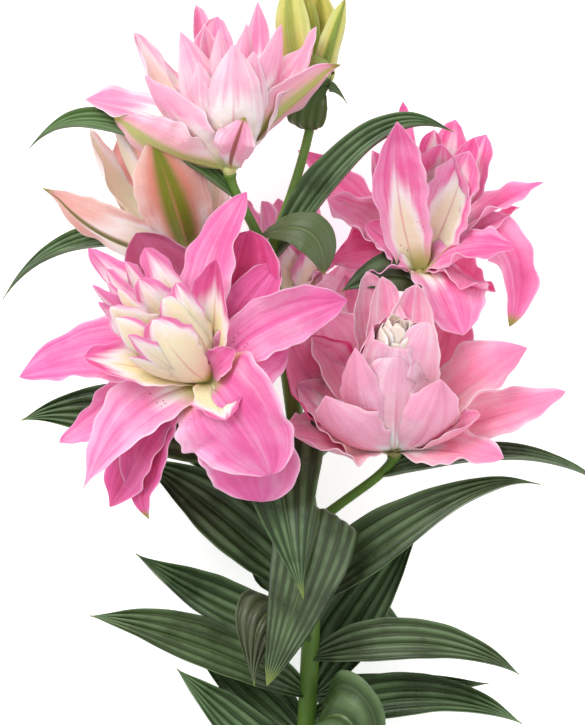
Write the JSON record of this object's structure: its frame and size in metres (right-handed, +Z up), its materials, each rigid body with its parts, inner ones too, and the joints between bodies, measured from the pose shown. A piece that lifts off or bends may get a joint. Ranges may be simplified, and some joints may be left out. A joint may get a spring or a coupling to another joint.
{
  "type": "cut lily",
  "caption": "Single cut stem of a double pink oriental lily, lying down, with open blooms, a half-open bloom, a bud and waved lance-shaped leaves.",
  "frame": {"origin": "on the table, under the middle of the plant's box", "axes": "+Y along the stem towards the flowers, +Z up from the table, which the plant lies on; +X to the right seen from above with the flowers at the top"},
  "size_m": [0.332, 0.5963, 0.1675],
  "materials": {
    "stem": "satin living stem",
    "bloom_top": "matte living petal",
    "bloom_half_open": "matte living petal",
    "bloom_left": "matte living petal",
    "bloom_right_back": "matte living petal",
    "bloom_right_front": "matte living petal",
    "bloom_rear": "matte living petal",
    "bud": "matte living petal",
    "leaf": "satin waxy leaf"
  },
  "bodies": {
    "root": {"stem": "stem", "bloom_top": "bloom_top", "bloom_half_open": "bloom_half_open", "bloom_left": "bloom_left", "bloom_right_back": "bloom_right_back", "bloom_right_front": "bloom_right_front", "bloom_rear": "bloom_rear", "bud": "bud", "leaf_top_left": "leaf", "leaf_bud": "leaf", "leaf_02": "leaf", "leaf_03": "leaf", "leaf_04": "leaf", "leaf_05": "leaf", "leaf_06": "leaf", "leaf_07": "leaf", "leaf_08": "leaf", "leaf_09": "leaf", "leaf_11": "leaf", "leaf_12": "leaf", "leaf_13": "leaf", "leaf_14": "leaf", "leaf_15": "leaf", "leaf_16": "leaf", "leaf_17": "leaf", "leaf_18": "leaf", "leaf_19": "leaf", "leaf_20": "leaf", "leaf_21": "leaf", "leaf_22": "leaf", "leaf_24": "leaf", "leaf_25": "leaf", "leaf_26": "leaf", "leaf_27": "leaf", "leaf_28": "leaf", "leaf_29": "leaf", "leaf_30": "leaf", "leaf_31": "leaf", "leaf_32": "leaf", "leaf_33": "leaf"}
  },
  "joints": []
}
